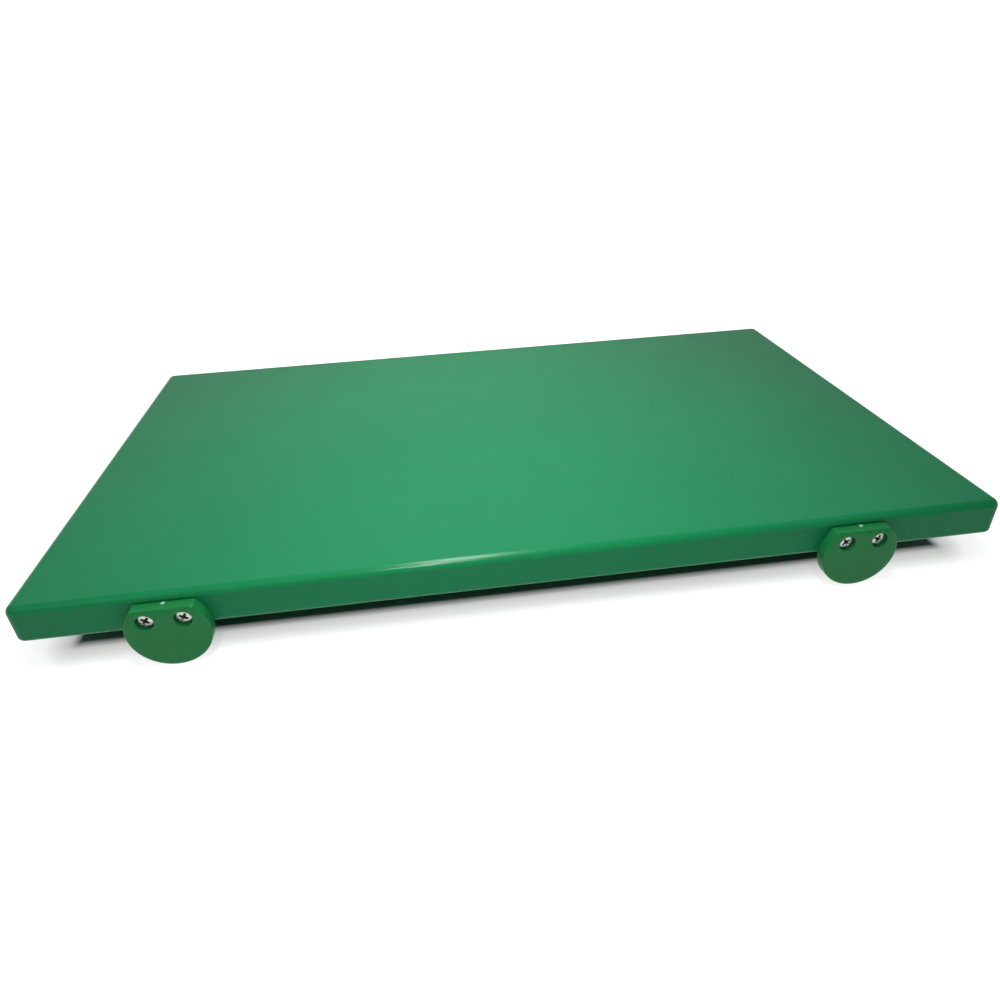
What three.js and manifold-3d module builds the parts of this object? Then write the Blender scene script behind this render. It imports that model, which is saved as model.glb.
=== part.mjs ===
// A kitchen cutting board with two D-shaped stops screwed to its front edge.
// The stops hook over the front of the worktop, so the board can't slide back while it is used.
//
// Millimetres, +Z up. The origin is the centre of the board's underside, X runs along its length
// and -Y is the front, where the stops hang.

import * as THREE from 'three';
import { mergeVertices } from 'three/addons/utils/BufferGeometryUtils.js';
import Module from 'manifold-3d';

const wasm = await Module();
wasm.setup();

// Board
const BOARD_LENGTH = 500;
const BOARD_DEPTH = 300;
const BOARD_THICKNESS = 20;
const BOARD_TOP_ROUND = 3.5;
const BOARD_BOTTOM_ROUND = 2;
const BOARD_CORNER_ROUND = 5;

// Stops: discs with a flat cut across the top
const STOP_RADIUS = 20;
const STOP_THICKNESS = 7;
const STOP_REACH_BELOW_BOARD = 18.5;
const STOP_TOP_BELOW_SURFACE = 4.5;
const STOP_CORNER_ROUND = 2;
const STOP_EDGE_ROUND = 0.7;
const LEFT_STOP_FROM_LEFT_END = 72;
const RIGHT_STOP_FROM_RIGHT_END = 80;

// Stub left on each stop's flat top where the moulding gate was cut off
const GATE_RADIUS = 1.1;
const GATE_HEIGHT = 0.5;
const GATE_FROM_BOARD = 1.6;

// Screws, two through each stop into the board's edge
const SCREW_SPACING = 17.5;
const SCREW_HEIGHT = 9;
const HEAD_RADIUS = 3.9;
const HEAD_THICKNESS = 2;
const HEAD_EDGE_ROUND = 0.7;
const SHANK_RADIUS = 2;
const SCREW_LENGTH = 25;
const POINT_LENGTH = 3.5;
const POINT_RADIUS = 0.3;
const RECESS_SPAN = 4.4;
const RECESS_SLOT = 1.1;
const RECESS_DEPTH = 1.5;

// Holes for the screws
const COUNTERBORE_DEPTH = 3.6;
const HOLE_CLEARANCE = 0.3;

// Curve resolution
const ROUND_STEPS = 5;
const CORNER_STEPS = 8;
const DISC_STEPS = 56;
const SMALL_ROUND_STEPS = 3;
const HOLE_SIDES = 24;
const QUARTER_TURN = Math.PI / 2;

// Places worked out from the dimensions above
const FRONT_Y = -BOARD_DEPTH / 2;
const STOP_FACE_Y = FRONT_Y - STOP_THICKNESS;
const STOP_CENTRE_Z = STOP_RADIUS - STOP_REACH_BELOW_BOARD;
const STOP_TOP_Z = BOARD_THICKNESS - STOP_TOP_BELOW_SURFACE;
const HEAD_SEAT_Y = STOP_FACE_Y + COUNTERBORE_DEPTH;
const PILOT_DEPTH = HEAD_SEAT_Y + SCREW_LENGTH + HOLE_CLEARANCE - FRONT_Y;
const STOPS = [
  { name: 'left_stop', x: LEFT_STOP_FROM_LEFT_END - BOARD_LENGTH / 2 },
  { name: 'right_stop', x: BOARD_LENGTH / 2 - RIGHT_STOP_FROM_RIGHT_END },
];
const SCREW_SIDES = [
  { name: 'left', offset: -SCREW_SPACING / 2 },
  { name: 'right', offset: SCREW_SPACING / 2 },
];

// Materials
const BOARD_GREEN = 0x2f8e62;
const BOARD_ROUGHNESS = 0.4;
const STOP_GREEN = 0x2a7d4a;
const STOP_ROUGHNESS = 0.35;
const ZINC = 0xb9bdb8;
const ZINC_ROUGHNESS = 0.35;

function plastic(color, roughness) {
  return new THREE.MeshStandardMaterial({ color, roughness, metalness: 0 });
}

function zincPlate() {
  return new THREE.MeshStandardMaterial({ color: ZINC, roughness: ZINC_ROUGHNESS, metalness: 1 });
}

// Solid geometry helpers

function toSolid(geometry) {
  const bare = geometry.clone();
  bare.deleteAttribute('normal');
  bare.deleteAttribute('uv');
  const merged = mergeVertices(bare);
  return new wasm.Manifold(new wasm.Mesh({
    numProp: 3,
    vertProperties: new Float32Array(merged.attributes.position.array),
    triVerts: new Uint32Array(merged.index.array),
  }));
}

function toGeometry(solid) {
  const mesh = solid.getMesh();
  const geometry = new THREE.BufferGeometry();
  geometry.setAttribute('position', new THREE.BufferAttribute(mesh.vertProperties, 3));
  geometry.setIndex(new THREE.BufferAttribute(mesh.triVerts, 1));
  geometry.computeVertexNormals();
  return geometry;
}

function arc(x, y, radius, from, to, steps) {
  return Array.from({ length: steps + 1 }, (_, i) => {
    const angle = from + ((to - from) * i) / steps;
    return new THREE.Vector2(x + radius * Math.cos(angle), y + radius * Math.sin(angle));
  });
}

// Fills a convex ring of points with a strip of triangles. It starts between the first and last
// points and crosses the ring from side to side.
function stripAcross(count) {
  const triangles = [];
  let low = 0;
  let high = count - 1;
  while (high - low > 1) {
    triangles.push([low, low + 1, high]);
    low += 1;
    if (high - low > 1) {
      triangles.push([low, high - 1, high]);
      high -= 1;
    }
  }
  return triangles;
}

// A slab lying on z = 0: outlineAt(inset) gives its convex outline, anticlockwise and always with
// the same number of points, and the two rounds say how its bottom and top edges curve inwards.
function slab(outlineAt, thickness, bottomRound, topRound, steps) {
  const bottom = arc(bottomRound, bottomRound, bottomRound, 3 * QUARTER_TURN, 2 * QUARTER_TURN, steps);
  const top = arc(topRound, thickness - topRound, topRound, 2 * QUARTER_TURN, QUARTER_TURN, steps);
  const rings = [...bottom, ...top].map(({ x: inset, y: z }) => outlineAt(inset).map((p) => [p.x, p.y, z]));
  const count = rings[0].length;
  const index = [];
  for (let ring = 0; ring < rings.length - 1; ring++) {
    for (let i = 0; i < count; i++) {
      const a = ring * count + i;
      const b = ring * count + ((i + 1) % count);
      index.push(a, b, b + count, a, b + count, a + count);
    }
  }
  const lastRing = (rings.length - 1) * count;
  for (const [a, b, c] of stripAcross(count)) {
    index.push(a, c, b);
    index.push(lastRing + a, lastRing + b, lastRing + c);
  }
  const geometry = new THREE.BufferGeometry();
  geometry.setAttribute('position', new THREE.Float32BufferAttribute(rings.flat(2), 3));
  geometry.setIndex(index);
  return geometry;
}

function cylinderAlongY(radius, fromY, toY, x, z) {
  return new THREE.CylinderGeometry(radius, radius, toY - fromY, HOLE_SIDES)
    .translate(x, (fromY + toY) / 2, z);
}

// Board

function boardOutline(inset) {
  const radius = BOARD_CORNER_ROUND - inset;
  const x = BOARD_LENGTH / 2 - BOARD_CORNER_ROUND;
  const y = BOARD_DEPTH / 2 - BOARD_CORNER_ROUND;
  return [[x, y], [-x, y], [-x, -y], [x, -y]].flatMap(([cx, cy], corner) =>
    arc(cx, cy, radius, corner * QUARTER_TURN, (corner + 1) * QUARTER_TURN, CORNER_STEPS));
}

function cuttingBoard() {
  let board = toSolid(slab(boardOutline, BOARD_THICKNESS, BOARD_BOTTOM_ROUND, BOARD_TOP_ROUND, ROUND_STEPS));
  for (const stop of STOPS) {
    for (const side of SCREW_SIDES) {
      const hole = cylinderAlongY(SHANK_RADIUS + HOLE_CLEARANCE, STOP_FACE_Y, FRONT_Y + PILOT_DEPTH,
        stop.x + side.offset, SCREW_HEIGHT);
      board = board.subtract(toSolid(hole));
    }
  }
  return toGeometry(board);
}

// Stops

// The disc's outline about its own centre, from the flat's left end round to its right end.
function stopOutline(inset) {
  const flat = STOP_TOP_Z - STOP_CENTRE_Z;
  const cornerY = flat - STOP_CORNER_ROUND;
  const cornerX = Math.sqrt((STOP_RADIUS - STOP_CORNER_ROUND) ** 2 - cornerY ** 2);
  const meet = Math.atan2(cornerY, cornerX);
  const corner = STOP_CORNER_ROUND - inset;
  return [
    ...arc(-cornerX, cornerY, corner, QUARTER_TURN, Math.PI - meet, CORNER_STEPS),
    ...arc(0, 0, STOP_RADIUS - inset, Math.PI - meet, 2 * Math.PI + meet, DISC_STEPS).slice(1, -1),
    ...arc(cornerX, cornerY, corner, meet, QUARTER_TURN, CORNER_STEPS),
  ];
}

function stopBody(x) {
  const disc = slab(stopOutline, STOP_THICKNESS, STOP_EDGE_ROUND, STOP_EDGE_ROUND, SMALL_ROUND_STEPS)
    .rotateX(QUARTER_TURN)
    .translate(x, FRONT_Y, STOP_CENTRE_Z);
  const gate = new THREE.CylinderGeometry(GATE_RADIUS, GATE_RADIUS, 2 * GATE_HEIGHT, HOLE_SIDES)
    .rotateX(QUARTER_TURN)
    .translate(x, FRONT_Y - GATE_FROM_BOARD, STOP_TOP_Z);
  let body = toSolid(disc).add(toSolid(gate));
  for (const side of SCREW_SIDES) {
    const through = cylinderAlongY(SHANK_RADIUS + HOLE_CLEARANCE, STOP_FACE_Y, FRONT_Y + HOLE_CLEARANCE,
      x + side.offset, SCREW_HEIGHT);
    const counterbore = cylinderAlongY(HEAD_RADIUS + HOLE_CLEARANCE, STOP_FACE_Y - HOLE_CLEARANCE,
      HEAD_SEAT_Y, x + side.offset, SCREW_HEIGHT);
    body = body.subtract(toSolid(through)).subtract(toSolid(counterbore));
  }
  return toGeometry(body);
}

// Screws

function crossRecess() {
  const reach = RECESS_SPAN / 2;
  const half = RECESS_SLOT / 2;
  const arm = [[reach, -half], [reach, half], [half, half]];
  const outline = [0, 1, 2, 3].flatMap((turn) => arm.map(([x, y]) =>
    new THREE.Vector2(x, y).rotateAround(new THREE.Vector2(), turn * QUARTER_TURN)));
  return new THREE.ExtrudeGeometry(new THREE.Shape(outline), { depth: 2 * RECESS_DEPTH, bevelEnabled: false })
    .rotateX(QUARTER_TURN)
    .translate(0, RECESS_DEPTH - HEAD_THICKNESS, 0);
}

// The screw points along +Y, with the underside of its head at y = 0.
function screw() {
  const profile = [
    new THREE.Vector2(0, -HEAD_THICKNESS),
    ...arc(HEAD_RADIUS - HEAD_EDGE_ROUND, HEAD_EDGE_ROUND - HEAD_THICKNESS, HEAD_EDGE_ROUND,
      -QUARTER_TURN, 0, SMALL_ROUND_STEPS),
    new THREE.Vector2(HEAD_RADIUS, 0),
    new THREE.Vector2(SHANK_RADIUS, 0),
    new THREE.Vector2(SHANK_RADIUS, SCREW_LENGTH - POINT_LENGTH),
    new THREE.Vector2(POINT_RADIUS, SCREW_LENGTH),
    new THREE.Vector2(0, SCREW_LENGTH),
  ];
  const turned = toSolid(new THREE.LatheGeometry(profile, HOLE_SIDES));
  return toGeometry(turned.subtract(toSolid(crossRecess())));
}

// Assembly

function named(name, geometry, material) {
  const mesh = new THREE.Mesh(geometry, material);
  mesh.name = name;
  return mesh;
}

const cuttingBoardWithStops = new THREE.Group();
cuttingBoardWithStops.add(named('cutting_board', cuttingBoard(), plastic(BOARD_GREEN, BOARD_ROUGHNESS)));
for (const stop of STOPS) {
  cuttingBoardWithStops.add(named(stop.name, stopBody(stop.x), plastic(STOP_GREEN, STOP_ROUGHNESS)));
  for (const side of SCREW_SIDES) {
    const fastener = named(`${stop.name}_screw_${side.name}`, screw(), zincPlate());
    fastener.position.set(stop.x + side.offset, HEAD_SEAT_Y, SCREW_HEIGHT);
    cuttingBoardWithStops.add(fastener);
  }
}

export default cuttingBoardWithStops;
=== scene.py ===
"""Looks for a kitchen cutting board with two screwed-on worktop stops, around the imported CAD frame.

Everything is in metres in the row frame: X along the board, -Y its front edge with the stops,
+Z out of the cutting surface, and the origin at the centre of the underside.
"""

import math

import bpy
from mathutils import Euler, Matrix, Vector, noise


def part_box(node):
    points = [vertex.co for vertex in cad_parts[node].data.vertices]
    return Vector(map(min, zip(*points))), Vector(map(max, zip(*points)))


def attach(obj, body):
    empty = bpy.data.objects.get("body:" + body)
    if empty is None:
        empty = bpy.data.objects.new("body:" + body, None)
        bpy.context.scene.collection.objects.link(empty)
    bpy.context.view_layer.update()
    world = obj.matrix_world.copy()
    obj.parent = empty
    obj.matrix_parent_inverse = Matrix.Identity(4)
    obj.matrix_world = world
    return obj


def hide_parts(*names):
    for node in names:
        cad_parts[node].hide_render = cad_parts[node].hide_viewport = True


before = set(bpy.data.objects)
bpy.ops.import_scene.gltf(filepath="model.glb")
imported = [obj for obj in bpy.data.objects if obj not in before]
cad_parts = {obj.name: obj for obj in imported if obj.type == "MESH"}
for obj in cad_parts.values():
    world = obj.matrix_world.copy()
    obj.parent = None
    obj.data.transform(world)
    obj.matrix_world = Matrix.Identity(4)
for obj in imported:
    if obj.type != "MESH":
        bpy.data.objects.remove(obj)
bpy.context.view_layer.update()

MM = 0.001
UP = Vector((0, 0, 1))

# How far a cutter reaches past the surface that it opens
CUTTER_CLEAR = 1 * MM

# Board
TOP_ROUND = 3.5 * MM
BOTTOM_ROUND = 2 * MM
CORNER_ROUND = 5 * MM
CORNER_STEPS = 12
POINTS_APART = 6 * MM
CREASE_DEGREES = 12
CREASE_ROUND = 0.7 * MM
ROUTER_WANDER = 0.06 * MM
WANDER_LENGTH = 18 * MM
PILOT_RADIUS = 2.05 * MM
PILOT_DEEPER = 0.3 * MM
EDGE_FINISH_DEPTH = 0.02 * MM

# Stops
STOP_CORNER_ROUND = 2 * MM
STOP_EDGE_ROUND = 1 * MM
STOP_BACK_ROUND = 0.3 * MM
STOP_CORNER_STEPS = 8
STOP_ARC_STEPS = 96
CROWN_WIDTH = 8 * MM
CROWN_HEIGHT = 0.3 * MM
CROWN_STEPS = 8
THROUGH_HOLE_RADIUS = 2.2 * MM
COUNTERBORE_RADIUS = 4.2 * MM
COUNTERBORE_LIP = 0.25 * MM
GATE_RADIUS = 1.1 * MM
GATE_HEIGHT = 0.5 * MM
GATE_FROM_BOARD = 1.6 * MM
GATE_SIDES = 20
GATE_RAGGED = 0.35
GATE_RAGGED_LENGTH = 0.6 * MM
GATE_WHITE_FROM = 0.15 * MM

# Screws
HEAD_DOME = 0.35 * MM
HEAD_EDGE_ROUND = 0.5 * MM
HEAD_THICKNESS = 2 * MM
CORE_RADIUS = 1.4 * MM
THREAD_RADIUS = 2 * MM
THREAD_PITCH = 1.6 * MM
THREAD_STEP = 0.12 * MM
RIDGE_HALF_PER_PITCH = 0.24
PLAIN_SHANK = 1.2 * MM
POINT_LENGTH = 3.5 * MM
POINT_RADIUS = 0.15 * MM
SCREW_SIDES = 48
RECESS_SPAN = 4.9 * MM
RECESS_SLOT = 1.2 * MM
RECESS_DEPTH = 1.5 * MM
RECESS_CORNER = 1.35
# Painted shade in the screws' recesses: how deep below the head's rim it starts, how deep it takes to darken
# fully, and how far past the recess it reaches
PAINTED_SHADE_BELOW_RIM = 0.15 * MM
PAINTED_SHADE_FADE = 0.5 * MM
PAINTED_SHADE_MARGIN = 0.2 * MM

# Floor with painted light: it glows by the distance from a line GLOW_UNDER inside the board's outline
FLOOR_REACH = 40.0
FLOOR_GREY = 0.25
FLOOR_GLOW = 1.05
GLOW_UNDER = 18 * MM
GLOW_REACH = 0.4
GLOW_RISE = [(0.0, 0.0), (0.005, 0.45), (0.018, 0.8), (0.045, 0.9), (0.12, 0.97), (GLOW_REACH, 1.0)]

# Light, its spreads in degrees
ROOM_RIGHT_BACK_TOP = (0.08, 1.42, 0.06)
ROOM_LEFT_FRONT_FLOOR = (0.08, 0.04, 0.0)
STRIP_PLACE = (-0.02, -0.05, 0.65)
STRIP_AIM = (-0.02, -0.05, 0)
STRIP_SIZE = (0.1, 0.7)
STRIP_WATTS = 1.72
STRIP_SPREAD = 82
FRONT_LAMP_PLACE = (-0.065, -0.62, 0.67)
FRONT_LAMP_AIM = (-0.045, -0.15, 0.02)
FRONT_LAMP_SIZE = (0.04, 0.04)
FRONT_LAMP_WATTS = 0.205
FRONT_LAMP_SPREAD = 50
SIDE_PANEL_PLACE = (-0.47, -0.6, 0.6)
SIDE_PANEL_AIM = (-0.15, -0.15, 0.02)
SIDE_PANEL_SIZE = (0.55, 0.25)
SIDE_PANEL_WATTS = 0.45
SIDE_PANEL_SPREAD = 180

# Camera, its lens and sensor in millimetres and its turn in degrees
LENS = 25.61
SENSOR_WIDTH = 36
CLIP_START = 0.01
EYE_PLACE = (-0.0478, -0.4314, 0.2248)
EYE_TURN = (58.633, 2.134, -7.659)

board_low, board_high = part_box("cutting_board")
STOPS = ("left_stop", "right_stop")
SCREWS = {stop: [f"{stop}_screw_{side}" for side in ("left", "right")] for stop in STOPS}


# Mesh helpers


def add_object(name, points, faces):
    mesh = bpy.data.meshes.new(name)
    mesh.from_pydata([tuple(p) for p in points], [], faces)
    mesh.validate()
    piece = bpy.data.objects.new(name, mesh)
    bpy.context.scene.collection.objects.link(piece)
    return piece


def arc(across, up, radius, start, end, steps):
    """Points (across, up) on an arc, with its angles in degrees."""
    angles = [math.radians(start + (end - start) * i / steps) for i in range(steps + 1)]
    return [(across + radius * math.cos(a), up + radius * math.sin(a)) for a in angles]


def full_turn(sides):
    """Even angles over one turn, in radians."""
    return [math.tau * i / sides for i in range(sides)]


def round_ring(centre, y, radii):
    """A ring about a line along Y through centre, from its radii at even angles."""
    turns = full_turn(len(radii))
    return [centre + Vector((r * math.sin(t), y, r * math.cos(t))) for r, t in zip(radii, turns)]


def loft(name, rings):
    """A closed skin over rings of points, all of one length and in one turning direction."""
    count = len(rings[0])
    last = (len(rings) - 1) * count
    faces = [tuple(reversed(range(count))), tuple(range(last, last + count))]
    for start in range(0, last, count):
        for i in range(count):
            a, b = start + i, start + (i + 1) % count
            faces.append((a, b, b + count, a + count))
    return add_object(name, [p for ring in rings for p in ring], faces)


def turned(name, profile, centre, sides=48):
    """A solid of revolution about a line along Y through centre, from (radius, y) pairs."""
    return loft(name, [round_ring(centre, y, [radius] * sides) for radius, y in profile])


def combine(piece, tools, operation):
    """Joins tools to a piece or cuts them from it, and removes them."""
    for tool in tools:
        modifier = piece.modifiers.new(tool.name, "BOOLEAN")
        modifier.operation = operation
        modifier.solver = "EXACT"
        modifier.object = tool
    shape = piece.evaluated_get(bpy.context.evaluated_depsgraph_get())
    piece.data = bpy.data.meshes.new_from_object(shape)
    piece.modifiers.clear()
    for tool in tools:
        bpy.data.objects.remove(tool)


def smooth(piece, sharp_above):
    """Smooth shading, with edges above that angle in degrees kept sharp and flat faces kept flat."""
    piece.data.shade_smooth()
    piece.data.set_sharp_from_angle(angle=math.radians(sharp_above))
    piece.modifiers.new("flat faces stay flat", "WEIGHTED_NORMAL").keep_sharp = True


def paint(piece, name, value_at):
    """Stores a number at each point of a piece, worked out from its place, for its material to read."""
    attribute = piece.data.attributes.new(name, "FLOAT", "POINT")
    attribute.data.foreach_set("value", [value_at(v.co) for v in piece.data.vertices])


def clamp(value):
    return max(0.0, min(1.0, value))


def dress(piece, node, material):
    """Makes a piece stand for the CAD node and take its finish."""
    piece.data.materials.clear()
    piece.data.materials.append(material)
    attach(piece, "root")
    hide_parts(node)


# Materials

BOARD_GREEN = (0.0045, 0.162, 0.061, 1)
BOARD_DEEP = (0.0038, 0.155, 0.058, 1)
# Painted sheen: a lighter green for the rounded edges
BOARD_EDGE_PAINTED_SHEEN = (0.009, 0.178, 0.060, 1)
# Painted shade: a deeper green for the vertical sides
BOARD_SIDE_PAINTED_SHADE = (0.0035, 0.146, 0.055, 1)
STOP_GREEN = (0.008, 0.150, 0.038, 1)
STOP_DEEP = (0.0065, 0.143, 0.035, 1)
STOP_WHITENED = (0.25, 0.62, 0.36, 1)
ZINC = (0.62, 0.64, 0.61, 1)
ZINC_DULL = (0.42, 0.43, 0.41, 1)
# Painted shade: near black, down in the screws' recesses
RECESS_PAINTED_SHADE = (0.035, 0.03, 0.028, 1)


def feed(tree, socket, value):
    """Links a socket to another node's output, or sets it to a plain value."""
    if isinstance(value, bpy.types.NodeSocket):
        tree.links.new(value, socket)
    else:
        socket.default_value = value


def number_math(tree, operation, a, b):
    """The result of an operation on two numbers."""
    node = tree.nodes.new("ShaderNodeMath")
    node.operation = operation
    feed(tree, node.inputs[0], a)
    feed(tree, node.inputs[1], b)
    return node.outputs["Value"]


def vector_math(tree, operation, a, b=(0, 0, 0)):
    """The result of a vector operation, which DOT_PRODUCT and LENGTH give as a number."""
    node = tree.nodes.new("ShaderNodeVectorMath")
    node.operation = operation
    feed(tree, node.inputs[0], a)
    feed(tree, node.inputs[1], b)
    return node.outputs["Value" if operation in ("DOT_PRODUCT", "LENGTH") else "Vector"]


class Finish:
    """A material's node tree, with its Principled shader and short ways to add nodes to it.

    Inputs are named as Blender names them, with an underscore for each space.
    """

    def __init__(self, name):
        self.material = bpy.data.materials.new(name)
        self.material.use_nodes = True
        self.tree = self.material.node_tree
        self.shader = self.tree.nodes["Principled BSDF"]
        self.place = self.add("ShaderNodeTexCoord").outputs["Object"]

    def add(self, kind, **inputs):
        node = self.tree.nodes.new(kind)
        for name, value in inputs.items():
            feed(self.tree, node.inputs[name.replace("_", " ")], value)
        return node

    def set(self, **inputs):
        for name, value in inputs.items():
            feed(self.tree, self.shader.inputs[name.replace("_", " ")], value)

    def noise(self, scale, detail=2, stretch=(1, 1, 1)):
        """Noise of about 1/scale metres, from about 0.3 to 0.7."""
        place = self.add("ShaderNodeMapping", Vector=self.place, Scale=stretch).outputs["Vector"]
        return self.add("ShaderNodeTexNoise", Vector=place, Scale=scale, Detail=detail).outputs["Fac"]

    def stored(self, name):
        """A number that paint() stored in the mesh."""
        node = self.add("ShaderNodeAttribute")
        node.attribute_name = name
        return node.outputs["Fac"]

    def spread(self, value, low, high):
        """Spreads noise, which keeps to its middle, over low to high."""
        span = {"From_Min": 0.3, "From_Max": 0.7, "To_Min": low, "To_Max": high}
        return self.add("ShaderNodeMapRange", Value=value, **span).outputs["Result"]

    def math(self, operation, a, b):
        return number_math(self.tree, operation, a, b)

    def blend(self, share, a, b):
        """From colour a to colour b."""
        node = self.add("ShaderNodeMix")
        node.data_type = "RGBA"
        for name, value in (("Factor_Float", share), ("A_Color", a), ("B_Color", b)):
            feed(self.tree, next(s for s in node.inputs if s.identifier == name), value)
        return next(s for s in node.outputs if s.identifier == "Result_Color")

    def bump(self, height, depth, under=None):
        """Relief of that depth in metres, on top of another relief."""
        node = self.add("ShaderNodeBump", Strength=1.0, Distance=depth, Height=height)
        if under:
            feed(self.tree, node.inputs["Normal"], under)
        return node.outputs["Normal"]


def board_plastic():
    """Satin polyethylene with fine grain and a smoother routed rounding, painted shade as a deeper green on
    its planed sides and a painted sheen as a lighter green on its rounded edges.
    """
    finish = Finish("board_plastic")
    edge = finish.stored("edge")
    faces = finish.blend(finish.spread(finish.noise(9), 0, 1), BOARD_DEEP, BOARD_GREEN)
    # Painted shade: the side number gives the vertical faces a deeper green
    green = finish.blend(finish.stored("side"), faces, BOARD_SIDE_PAINTED_SHADE)
    # Painted sheen: the rounded edges take a lighter green
    painted_edge_sheen = finish.math("MULTIPLY", edge, finish.spread(finish.noise(260), 0.8, 1.0))
    finish.set(Base_Color=finish.blend(painted_edge_sheen, green, BOARD_EDGE_PAINTED_SHEEN))
    flat_roughness = finish.spread(finish.noise(45, detail=4), 0.44, 0.49)
    smoother_edge = finish.math("MULTIPLY", edge, 0.29)
    finish.set(Roughness=finish.math("SUBTRACT", flat_roughness, smoother_edge), Specular_IOR_Level=0.12)
    grain = finish.bump(finish.noise(1500, detail=3), 0.010 * MM)
    planer_lines = finish.noise(500, stretch=(0.02, 1, 1))
    finish.set(Normal=finish.bump(planer_lines, 0.008 * MM, grain))
    finish.set(Subsurface_Weight=0.12, Subsurface_Scale=1.2 * MM, Subsurface_Radius=(0.4, 1.0, 0.5))
    return finish.material


def stop_plastic():
    """Glossy moulded plastic, whitened where the gate was torn off."""
    finish = Finish("stop_plastic")
    green = finish.blend(finish.spread(finish.noise(60, detail=1), 0, 1), STOP_DEEP, STOP_GREEN)
    torn = finish.math("MULTIPLY", finish.stored("torn"), finish.spread(finish.noise(900), 0.5, 1))
    finish.set(Base_Color=finish.blend(torn, green, STOP_WHITENED))
    roughness = finish.spread(finish.noise(120, detail=1), 0.28, 0.34)
    finish.set(Roughness=roughness, Specular_IOR_Level=0.14)
    flow = finish.bump(finish.noise(70), 0.02 * MM)
    finish.set(Normal=finish.bump(finish.noise(2200, detail=3), 0.004 * MM, flow))
    finish.set(Subsurface_Weight=0.1, Subsurface_Scale=1 * MM, Subsurface_Radius=(0.4, 1.0, 0.4))
    return finish.material


def screw_zinc():
    """Bright zinc plate, duller in patches, with painted shade down in the recess."""
    finish = Finish("screw_zinc")
    metal = finish.blend(finish.spread(finish.noise(900, detail=3), 0, 1), ZINC, ZINC_DULL)
    # Painted shade: the recess darkens towards near black
    finish.set(Base_Color=finish.blend(finish.stored("recess_shade"), metal, RECESS_PAINTED_SHADE))
    finish.set(Roughness=finish.spread(finish.noise(1500, detail=3), 0.24, 0.42), Metallic=1.0)
    finish.set(Normal=finish.bump(finish.noise(2500), 0.004 * MM))
    return finish.material


# Board


def board_ring(inset, z):
    """A ring round the board, its corners rounded and its sides divided into short steps."""
    cx, cy = board_high.x - CORNER_ROUND, board_high.y - CORNER_ROUND
    radius = CORNER_ROUND - inset
    corners = [(cx, cy, 0), (-cx, cy, 90), (-cx, -cy, 180), (cx, -cy, 270)]
    points = []
    for i, (x, y, start) in enumerate(corners):
        points += arc(x, y, radius, start, start + 90, CORNER_STEPS)
        next_x, next_y, next_start = corners[(i + 1) % 4]
        ahead = arc(next_x, next_y, radius, next_start, next_start, 1)[0]
        steps = round(math.dist((x, y), (next_x, next_y)) / POINTS_APART)
        here = points[-1]
        points += [tuple(a + (b - a) * s / steps for a, b in zip(here, ahead)) for s in range(1, steps)]
    return [Vector((x, y, z)) for x, y in points]


def pilot_hole(node):
    """A cutter for the hole that the screw's thread bites into."""
    low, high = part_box(node)
    centre = Vector(((low.x + high.x) / 2, 0, (low.z + high.z) / 2))
    start, end = board_low.y - CUTTER_CLEAR, high.y + PILOT_DEEPER
    return turned("pilot", [(PILOT_RADIUS, start), (PILOT_RADIUS, end)], centre, sides=32)


def routed_edge(round_size, steps):
    """A round from a vertical face up to a level one, as (inset, height) from the corner between them.

    It meets both faces at a soft crease, as a router bit set a little too deep leaves it.
    """
    crease = math.radians(CREASE_DEGREES)
    soft_across, soft_up = CREASE_ROUND * math.sin(crease), CREASE_ROUND * (1 - math.cos(crease))
    radius = (round_size - soft_across - soft_up) / (math.cos(crease) - math.sin(crease))
    centre = soft_up + radius * math.cos(crease)
    lower = arc(CREASE_ROUND, -round_size, CREASE_ROUND, 180, 180 - CREASE_DEGREES, 2)
    middle = arc(centre, -centre, radius, 180 - CREASE_DEGREES, 90 + CREASE_DEGREES, steps)
    upper = arc(round_size, -CREASE_ROUND, CREASE_ROUND, 90 + CREASE_DEGREES, 90, 2)
    return lower + middle[1:-1] + upper


def wander(piece):
    """Sinks the top rounding unevenly by up to ROUTER_WANDER, and leaves its two ends in place."""
    middle = Vector((0, 0, board_high.z / 2))
    for vertex in piece.data.vertices:
        rise = clamp((vertex.co.z - (board_high.z - TOP_ROUND)) / TOP_ROUND)
        uneven = 0.5 + 0.5 * noise.noise(vertex.co / WANDER_LENGTH)
        vertex.co += (middle - vertex.co).normalized() * ROUTER_WANDER * 4 * rise * (1 - rise) * uneven


def inside_outline(point):
    """How far a point is inside the board's outline, seen from above."""
    beyond_x = abs(point.x) - board_high.x + CORNER_ROUND
    beyond_y = abs(point.y) - board_high.y + CORNER_ROUND
    at_corner = min(beyond_x, beyond_y) > 0
    return CORNER_ROUND - (math.hypot(beyond_x, beyond_y) if at_corner else max(beyond_x, beyond_y))


def on_rounding(point):
    """1 on the rounded edges and 0 on the flat faces."""
    return clamp(min(inside_outline(point), point.z, board_high.z - point.z) / EDGE_FINISH_DEPTH)


def painted_side_shade_mask(point):
    """1 on the vertical faces and 0 elsewhere, where the board takes its painted shade."""
    return clamp(1 - inside_outline(point) / EDGE_FINISH_DEPTH)


def cutting_board(material):
    bottom = [(inset, -up) for inset, up in reversed(routed_edge(BOTTOM_ROUND, 10))]
    top = [(inset, board_high.z + up) for inset, up in routed_edge(TOP_ROUND, 12)]
    piece = loft("board_slab", [board_ring(inset, z) for inset, z in bottom + top])
    wander(piece)
    combine(piece, [pilot_hole(node) for stop in STOPS for node in SCREWS[stop]], "DIFFERENCE")
    smooth(piece, sharp_above=40)
    # The edge number gives the rounded edges their smoother finish and their painted sheen
    paint(piece, "edge", on_rounding)
    # Painted shade: the side number marks the vertical faces for a deeper green
    paint(piece, "side", painted_side_shade_mask)
    dress(piece, "cutting_board", material)


# Stops


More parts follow.
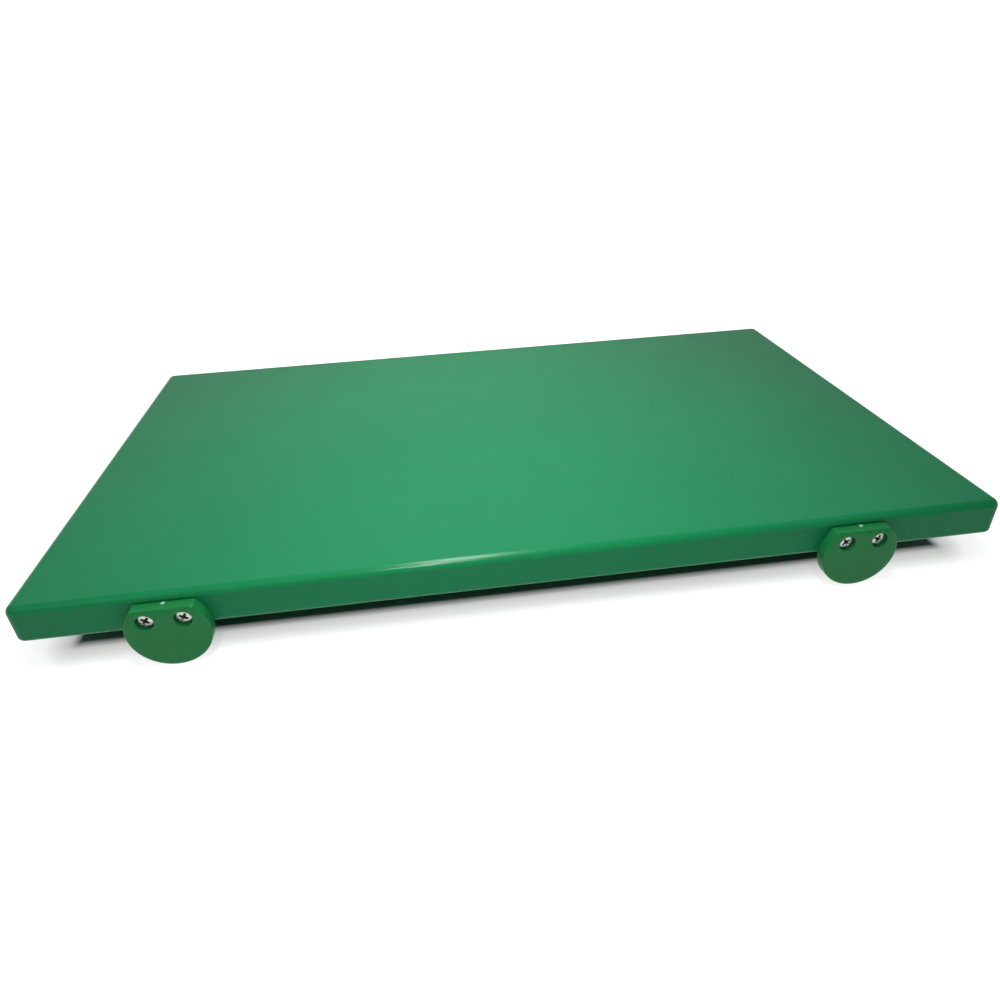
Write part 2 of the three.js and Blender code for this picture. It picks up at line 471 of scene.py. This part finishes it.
def stop_ring(box, inset, y):
    """A ring round the D-shaped disc, seen from the front: the flat's corners and the long arc."""
    low, high = box
    radius = (high.x - low.x) / 2
    centre_x, centre_z = (low.x + high.x) / 2, low.z + radius
    corner_z = high.z - GATE_HEIGHT - centre_z - STOP_CORNER_ROUND
    corner_x = math.sqrt((radius - STOP_CORNER_ROUND) ** 2 - corner_z ** 2)
    corner = STOP_CORNER_ROUND - inset
    meet = math.degrees(math.atan2(corner_z, corner_x))
    points = arc(-corner_x, corner_z, corner, 90, 180 - meet, STOP_CORNER_STEPS)
    points += arc(0, 0, radius - inset, 180 - meet, 360 + meet, STOP_ARC_STEPS)[1:-1]
    points += arc(corner_x, corner_z, corner, meet, 90, STOP_CORNER_STEPS)
    return [Vector((centre_x + x, y, centre_z + z)) for x, z in points]


def screw_place(node):
    """The line of a screw along Y, and where its head's face and seat are."""
    low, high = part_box(node)
    return Vector(((low.x + high.x) / 2, 0, (low.z + high.z) / 2)), low.y, low.y + HEAD_THICKNESS


def screw_hole(node, face_y, back_y):
    """A cutter for the stepped hole through a stop, with a rounded lip at its mouth."""
    centre, _, seat_y = screw_place(node)
    mouth = COUNTERBORE_RADIUS + COUNTERBORE_LIP
    profile = [
        (mouth, face_y - CUTTER_CLEAR),
        *arc(mouth, face_y + COUNTERBORE_LIP, COUNTERBORE_LIP, 270, 180, 4),
        (COUNTERBORE_RADIUS, seat_y),
        (THROUGH_HOLE_RADIUS, seat_y),
        (THROUGH_HOLE_RADIUS, back_y + CUTTER_CLEAR),
    ]
    return turned("hole", profile, centre)


def torn_gate(centre):
    """A small ragged dome, half sunk in the flat, where the moulding was torn off its runner."""
    rings = []
    for share in (-0.6, 0, 0.3, 0.6, 0.85, 1):
        reach = GATE_RADIUS * math.sqrt(1 - max(share, 0) ** 2 * 0.9)
        ring = []
        for turn in full_turn(GATE_SIDES):
            spoke = Vector((math.cos(turn), math.sin(turn), 0))
            spot = centre + (spoke + UP * share) * GATE_RADIUS
            ragged = 1 + GATE_RAGGED * noise.noise(spot / GATE_RAGGED_LENGTH)
            rise = GATE_HEIGHT * share * (0.75 + 0.25 * ragged)
            ring.append(centre + spoke * reach * ragged + UP * rise)
        rings.append(ring)
    return loft("torn", rings)


def stop_disc(name, box):
    """The D-shaped disc, with a rounded rim and a front face that crowns gently away from it."""
    low, high = box
    centre_x, radius = (low.x + high.x) / 2, (high.x - low.x) / 2
    centre_z = low.z + radius
    rim_y = low.y + CROWN_HEIGHT
    back = arc(STOP_BACK_ROUND, high.y - STOP_BACK_ROUND, STOP_BACK_ROUND, 90, 180, 3)
    front = arc(STOP_EDGE_ROUND, rim_y + STOP_EDGE_ROUND, STOP_EDGE_ROUND, 180, 270, 6)
    rings = [stop_ring(box, inset, y) for inset, y in back + front]
    rim = rings[-1]
    for inwards, rise in arc(1, 0, 1, 180, 90, CROWN_STEPS)[1:]:
        shrink = 1 - inwards * CROWN_WIDTH / radius
        y = rim_y - CROWN_HEIGHT * rise
        rings.append([
            Vector((centre_x + (p.x - centre_x) * shrink, y, centre_z + (p.z - centre_z) * shrink))
            for p in rim
        ])
    return loft(f"{name}_disc", rings)


def worktop_stop(name, material):
    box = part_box(name)
    low, high = box
    flat_z = high.z - GATE_HEIGHT
    piece = stop_disc(name, box)
    combine(piece, [screw_hole(node, low.y, high.y) for node in SCREWS[name]], "DIFFERENCE")
    gate = Vector(((low.x + high.x) / 2, high.y - GATE_FROM_BOARD, flat_z))
    combine(piece, [torn_gate(gate)], "UNION")
    smooth(piece, sharp_above=40)
    paint(piece, "torn", lambda point: clamp((point.z - flat_z) / GATE_WHITE_FROM))
    dress(piece, name, material)


# Screws

# How far each recess is turned, in degrees
RECESS_TURNS = {
    "left_stop_screw_left": 38,
    "left_stop_screw_right": 31,
    "right_stop_screw_left": 52,
    "right_stop_screw_right": 20,
}

# The recess by levels: the share of its depth, and of its size at the head's face
RECESS_LEVELS = [(-1, 1.3), (0, 1), (0.8, 0.55), (1, 0.25)]


def thread_radius(turn, along, length):
    """The screw's radius at a turn and a distance along its shank.

    A sharp ridge winds round a core, and both end in a point.
    """
    phase = (along / THREAD_PITCH - turn / math.tau) % 1
    ridge = clamp(1 - abs(phase - 0.5) / RIDGE_HALF_PER_PITCH)
    started = clamp((along - PLAIN_SHANK) / THREAD_PITCH)
    before_point = clamp((length - along) / POINT_LENGTH)
    core = POINT_RADIUS + (CORE_RADIUS - POINT_RADIUS) * before_point
    crest = POINT_RADIUS + (THREAD_RADIUS - POINT_RADIUS) * clamp(before_point * 1.2)
    return core + (crest - core) * ridge * started


def recess_cutter(centre, face_y, turn):
    """A cross that narrows as it goes down into the head."""
    rings = []
    for depth, share in RECESS_LEVELS:
        reach, half = RECESS_SPAN / 2 * share, RECESS_SLOT / 2 * (0.4 + 0.6 * share)
        middle = centre + Vector((0, face_y + depth * RECESS_DEPTH, 0))
        ring = []
        for arm in range(4):
            angle = math.radians(turn + 90 * arm)
            out = Vector((math.sin(angle), 0, math.cos(angle)))
            side = Vector((math.cos(angle), 0, -math.sin(angle)))
            end, inner_corner = out * reach, (out + side) * half * RECESS_CORNER
            ring += [end - side * half, end + side * half, inner_corner]
        rings.append([middle + p for p in ring])
    return loft("recess", rings)


def screw_profile(radius, face_y, seat_y):
    """The head's outline as (radius, y), from the middle of its face to the start of the shank."""
    flat = radius - HEAD_EDGE_ROUND
    dome = [(flat * share, face_y + HEAD_DOME * share ** 2) for share in (0.08, 0.25, 0.5, 0.75, 0.9)]
    rim = arc(flat, face_y + HEAD_DOME + HEAD_EDGE_ROUND, HEAD_EDGE_ROUND, 270, 360, 6)
    return [*dome, *rim, (radius, seat_y), (CORE_RADIUS, seat_y)]


def stop_screw(name, material):
    low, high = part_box(name)
    centre, face_y, seat_y = screw_place(name)
    profile = screw_profile((high.x - low.x) / 2, face_y, seat_y)
    rings = [round_ring(centre, y, [radius] * SCREW_SIDES) for radius, y in profile]
    length = high.y - seat_y
    steps = round(length / THREAD_STEP)
    for step in range(1, steps + 1):
        along = length * step / steps
        radii = [thread_radius(turn, along, length) for turn in full_turn(SCREW_SIDES)]
        rings.append(round_ring(centre, seat_y + along, radii))
    piece = loft(f"{name}_body", rings)
    combine(piece, [recess_cutter(centre, face_y, RECESS_TURNS[name])], "DIFFERENCE")
    smooth(piece, sharp_above=35)

    # Painted shade: darker down in the recess, from just below the head's rim
    def painted_shade_at(point):
        from_line = math.hypot(point.x - centre.x, point.z - centre.z)
        if from_line >= RECESS_SPAN / 2 + PAINTED_SHADE_MARGIN:
            return 0.0
        return clamp((point.y - face_y - HEAD_DOME - PAINTED_SHADE_BELOW_RIM) / PAINTED_SHADE_FADE)

    paint(piece, "recess_shade", painted_shade_at)
    dress(piece, name, material)


# Stage


def resting_slope(foot_points, board_points):
    """The slope along Y of a floor under the stops' feet and the board's back edge, and the foot it touches.

    The two depend on each other, and three rounds settle them.
    """
    slope = 0.0
    for _ in range(3):
        foot = min(foot_points, key=lambda p: p.z - slope * p.y)
        slope = min((p.z - foot.z) / (p.y - foot.y) for p in board_points if p.y > 0)
    return slope, foot


def shown_points(name):
    return [v.co for v in bpy.data.objects[name].data.vertices]


def floor_material():
    """Pale paper with painted light: it glows by its distance from the board, and stays dark well under it.
    """
    finish = Finish("studio_paper")
    tone = finish.spread(finish.noise(3), FLOOR_GREY, FLOOR_GREY + 0.02)
    finish.set(Base_Color=tone, Roughness=0.9, Specular_IOR_Level=0.2)
    glow_start = (board_high.x - GLOW_UNDER, board_high.y - GLOW_UNDER, 1.0)
    from_middle = vector_math(finish.tree, "ABSOLUTE", finish.place)
    beyond = vector_math(finish.tree, "SUBTRACT", from_middle, glow_start)
    away = vector_math(finish.tree, "LENGTH", vector_math(finish.tree, "MAXIMUM", beyond))
    glow = finish.add("ShaderNodeValToRGB", Fac=finish.math("DIVIDE", away, GLOW_REACH))
    steps = glow.color_ramp.elements
    while len(steps) < len(GLOW_RISE):
        steps.new(0.5)
    for step, (distance, light) in zip(steps, GLOW_RISE):
        step.position = distance / GLOW_REACH
        step.color = (light, light, light, 1)
    # Painted light: the floor's glow rises with the distance from the board
    finish.set(Emission_Color=glow.outputs["Color"], Emission_Strength=FLOOR_GLOW)
    return finish.material


def studio():
    """A pale floor that the object stands on, out to the horizon."""
    feet = [p for stop in STOPS for p in shown_points(f"{stop}_disc")]
    slope, foot = resting_slope(feet, shown_points("board_slab"))
    ways = [(-1, -1), (1, -1), (1, 1), (-1, 1)]
    corners = [(x * FLOOR_REACH, y * FLOOR_REACH) for x, y in ways]
    points = [(x, y, foot.z + slope * (y - foot.y)) for x, y in corners]
    floor = add_object("studio_floor", points, [(0, 1, 2, 3)])
    floor.data.materials.append(floor_material())


def panel(name, centre, target, size, watts, spread):
    """A rectangular light at centre, facing target, that the camera doesn't see."""
    light = bpy.data.lights.new(name, "AREA")
    light.shape = "RECTANGLE"
    light.size, light.size_y = size
    light.energy = watts
    light.spread = math.radians(spread)
    lamp = bpy.data.objects.new(name, light)
    lamp.location = centre
    lamp.rotation_euler = (Vector(target) - Vector(centre)).to_track_quat("-Z", "Y").to_euler()
    lamp.visible_camera = False
    bpy.context.scene.collection.objects.link(lamp)


def soft_room():
    """Soft light with its own level from each side and from above, behind a plain white backdrop."""
    world = bpy.data.worlds.new("studio")
    world.use_nodes = True
    tree = world.node_tree
    direction = tree.nodes.new("ShaderNodeTexCoord").outputs["Generated"]
    levels = []
    for towards, light in ((1, ROOM_RIGHT_BACK_TOP), (-1, ROOM_LEFT_FRONT_FLOOR)):
        facing = vector_math(tree, "MULTIPLY", direction, (towards, towards, towards))
        part = vector_math(tree, "MAXIMUM", facing)
        levels.append(vector_math(tree, "DOT_PRODUCT", vector_math(tree, "MULTIPLY", part, part), light))
    seen_by_camera = tree.nodes.new("ShaderNodeLightPath").outputs["Is Camera Ray"]
    background = tree.nodes["Background"]
    background.inputs["Color"].default_value = (1, 1, 1, 1)
    level = number_math(tree, "MAXIMUM", number_math(tree, "ADD", *levels), seen_by_camera)
    feed(tree, background.inputs["Strength"], level)
    bpy.context.scene.world = world


def lighting():
    soft_room()
    panel("overhead_strip", STRIP_PLACE, STRIP_AIM, STRIP_SIZE, STRIP_WATTS, STRIP_SPREAD)
    panel(
        "front_lamp",
        FRONT_LAMP_PLACE, FRONT_LAMP_AIM, FRONT_LAMP_SIZE, FRONT_LAMP_WATTS, FRONT_LAMP_SPREAD,
    )
    panel(
        "side_panel",
        SIDE_PANEL_PLACE, SIDE_PANEL_AIM, SIDE_PANEL_SIZE, SIDE_PANEL_WATTS, SIDE_PANEL_SPREAD,
    )


def camera():
    data = bpy.data.cameras.new("camera")
    data.lens = LENS
    data.sensor_width = SENSOR_WIDTH
    data.clip_start = CLIP_START
    eye = bpy.data.objects.new("camera", data)
    eye.location = EYE_PLACE
    eye.rotation_euler = Euler(math.radians(angle) for angle in EYE_TURN)
    bpy.context.scene.collection.objects.link(eye)
    bpy.context.scene.camera = eye


# Scene

camera()
cutting_board(board_plastic())
moulded, plated = stop_plastic(), screw_zinc()
for stop in STOPS:
    worktop_stop(stop, moulded)
    for screw in SCREWS[stop]:
        stop_screw(screw, plated)
studio()
lighting()
bpy.context.scene.view_settings.view_transform = "Standard"
